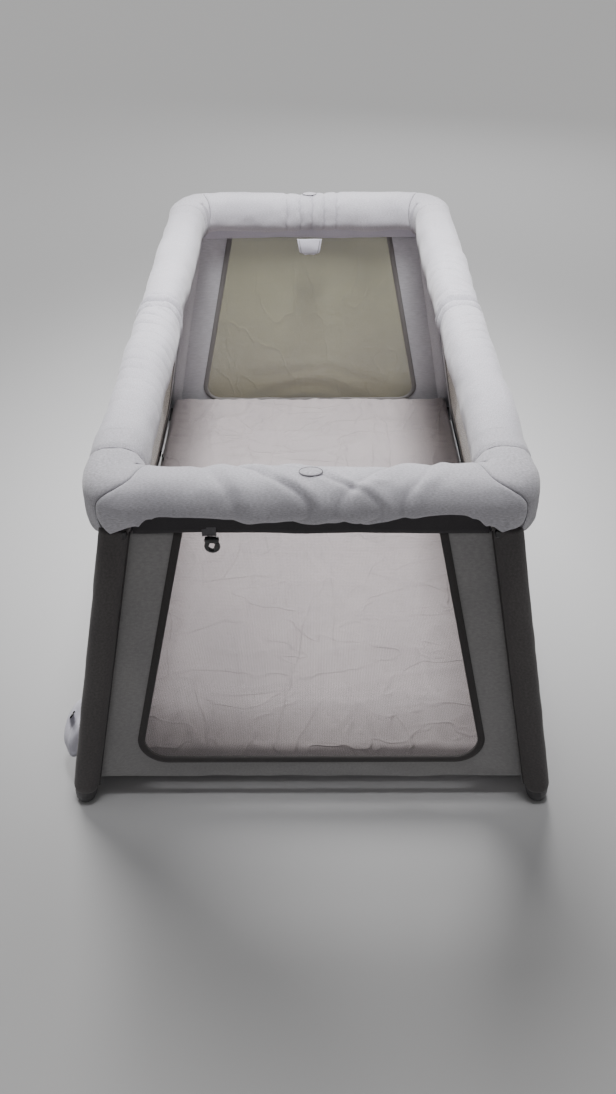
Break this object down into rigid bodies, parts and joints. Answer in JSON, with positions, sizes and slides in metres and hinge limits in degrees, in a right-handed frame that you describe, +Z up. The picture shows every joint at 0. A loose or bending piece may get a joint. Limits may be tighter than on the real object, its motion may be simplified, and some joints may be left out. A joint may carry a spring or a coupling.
{
  "type": "playpen",
  "caption": "Folding playpen with splayed legs, thick padded top rails, mesh windows on all sides, a thin mattress with a fitted sheet and book-fold hinges in the long rails.",
  "frame": {"origin": "on the floor, under the middle of the playpen", "axes": "+Z up, +Y along the playpen towards the rear end, +X to the right"},
  "size_m": [0.83, 1.255, 0.649],
  "materials": {
    "rail_fabric": "woven melange polyester, matt",
    "leg_fabric": "dark woven polyester, matt",
    "panel_fabric": "woven polyester, matt",
    "mesh_fabric": "open knitted mesh",
    "sheet_fabric": "brushed cotton sheet",
    "floor_fabric": "coated woven fabric",
    "webbing": "flat woven webbing",
    "black_plastic": "glossy moulded nylon",
    "grey_plastic": "fine moulded texture",
    "aluminium": "drawn tube, satin",
    "steel": "zinc plated"
  },
  "bodies": {
    "front_frame": {"front_left_bracket": "grey_plastic", "front_left_corner_cap": "rail_fabric", "front_left_foot": "grey_plastic", "front_left_leg_sleeve": "leg_fabric", "front_left_leg_tube": "aluminium", "front_left_pivot_pin": "steel", "front_panel": "panel_fabric", "front_release_housing": "grey_plastic", "front_right_bracket": "grey_plastic", "front_right_corner_cap": "rail_fabric", "front_right_foot": "grey_plastic", "front_right_leg_sleeve": "leg_fabric", "front_right_leg_tube": "aluminium", "front_right_pivot_pin": "steel", "front_short_rail_pad": "rail_fabric", "front_short_rail_tube": "aluminium", "front_window": "mesh_fabric", "left_wall": "panel_fabric", "left_wall_window": "mesh_fabric", "right_wall": "panel_fabric", "right_wall_window": "mesh_fabric", "floor_sheet": "floor_fabric"},
    "front_button": {"front_release_button": "grey_plastic"},
    "left_rail_front": {"left_rail_front_pad": "rail_fabric", "left_rail_front_tube": "aluminium"},
    "left_latch": {"left_latch_channel": "black_plastic", "left_latch_front_pin": "steel", "left_latch_rear_pin": "steel"},
    "left_rail_rear": {"left_rail_rear_pad": "rail_fabric", "left_rail_rear_tube": "aluminium"},
    "rear_frame": {"rear_left_bracket": "grey_plastic", "rear_left_corner_cap": "rail_fabric", "rear_left_foot": "grey_plastic", "rear_left_leg_sleeve": "leg_fabric", "rear_left_leg_tube": "aluminium", "rear_left_pivot_pin": "steel", "rear_panel": "panel_fabric", "rear_release_housing": "grey_plastic", "rear_right_bracket": "grey_plastic", "rear_right_corner_cap": "rail_fabric", "rear_right_foot": "grey_plastic", "rear_right_leg_sleeve": "leg_fabric", "rear_right_leg_tube": "aluminium", "rear_right_pivot_pin": "steel", "rear_short_rail_pad": "rail_fabric", "rear_short_rail_tube": "aluminium", "rear_window": "mesh_fabric"},
    "rear_button": {"rear_release_button": "grey_plastic"},
    "right_rail_front": {"right_rail_front_pad": "rail_fabric", "right_rail_front_tube": "aluminium"},
    "right_latch": {"right_latch_channel": "black_plastic", "right_latch_front_pin": "steel", "right_latch_rear_pin": "steel"},
    "right_rail_rear": {"right_rail_rear_pad": "rail_fabric", "right_rail_rear_tube": "aluminium"},
    "mattress": {"mattress": "sheet_fabric"},
    "pull_tab": {"pull_tab": "rail_fabric"},
    "strap": {"strap_webbing": "webbing", "strap_clip": "black_plastic"},
    "zip_slider": {"zip_slider": "black_plastic"}
  },
  "joints": [
    {"name": "fold", "type": "hinge", "parent": "front_frame", "child": "left_rail_front", "pos_m": [-0.276, -0.4435, 0.607], "axis": [-1, 0, 0], "range_deg": [0, 90], "deforming": ["left_wall", "left_wall_window", "right_wall", "right_wall_window", "floor_sheet", "mattress"]},
    {"name": "left_latch_front", "type": "hinge", "parent": "left_rail_front", "child": "left_latch", "pos_m": [-0.276, -0.045, 0.607], "axis": [1, 0, 0], "range_deg": [0, 102]},
    {"name": "left_latch_rear", "type": "hinge", "parent": "left_latch", "child": "left_rail_rear", "pos_m": [-0.276, 0.045, 0.607], "axis": [1, 0, 0], "range_deg": [0, 80]},
    {"name": "left_corner_rear", "type": "hinge", "parent": "left_rail_rear", "child": "rear_frame", "pos_m": [-0.276, 0.4435, 0.607], "axis": [-1, 0, 0], "range_deg": [0, 98]},
    {"name": "right_corner_front", "type": "hinge", "parent": "front_frame", "child": "right_rail_front", "pos_m": [0.276, -0.4435, 0.607], "axis": [-1, 0, 0], "range_deg": [0, 90]},
    {"name": "right_latch_front", "type": "hinge", "parent": "right_rail_front", "child": "right_latch", "pos_m": [0.276, -0.045, 0.607], "axis": [1, 0, 0], "range_deg": [0, 102]},
    {"name": "right_latch_rear", "type": "hinge", "parent": "right_latch", "child": "right_rail_rear", "pos_m": [0.276, 0.045, 0.607], "axis": [1, 0, 0], "range_deg": [0, 80]},
    {"name": "front_release", "type": "slide", "parent": "front_frame", "child": "front_button", "axis": [0, 0, -1], "range_m": [0, 0.005], "stiffness_N_per_m": 400, "springref_m": -0.004},
    {"name": "rear_release", "type": "slide", "parent": "rear_frame", "child": "rear_button", "axis": [0, 0, -1], "range_m": [0, 0.005], "stiffness_N_per_m": 400, "springref_m": -0.004},
    {"name": "mattress_lift", "type": "slide", "parent": "front_frame", "child": "mattress", "axis": [0, 0, 1], "range_m": [0, 0.75], "deforming": ["mattress"]},
    {"name": "pull_tab_swing", "type": "hinge", "parent": "rear_frame", "child": "pull_tab", "pos_m": [0, 0.484, 0.564], "axis": [1, 0, 0], "range_deg": [-60, 70]},
    {"name": "strap_swing", "type": "hinge", "parent": "front_frame", "child": "strap", "pos_m": [-0.14, -0.53741, 0.56058], "axis": [-1, 0, 0], "range_deg": [0, 75]},
    {"name": "zip_slide", "type": "slide", "parent": "front_frame", "child": "zip_slider", "axis": [0, 1, 0], "range_m": [-0.75, 0.2]}
  ],
  "couplings": [
    {"joint": "left_latch_front", "follows": "fold", "ratio": 1.1229},
    {"joint": "left_latch_rear", "follows": "fold", "ratio": 0.8771},
    {"joint": "left_corner_rear", "follows": "fold", "ratio": 1.0878},
    {"joint": "right_corner_front", "follows": "fold", "ratio": 1},
    {"joint": "right_latch_front", "follows": "fold", "ratio": 1.1229},
    {"joint": "right_latch_rear", "follows": "fold", "ratio": 0.8771}
  ]
}
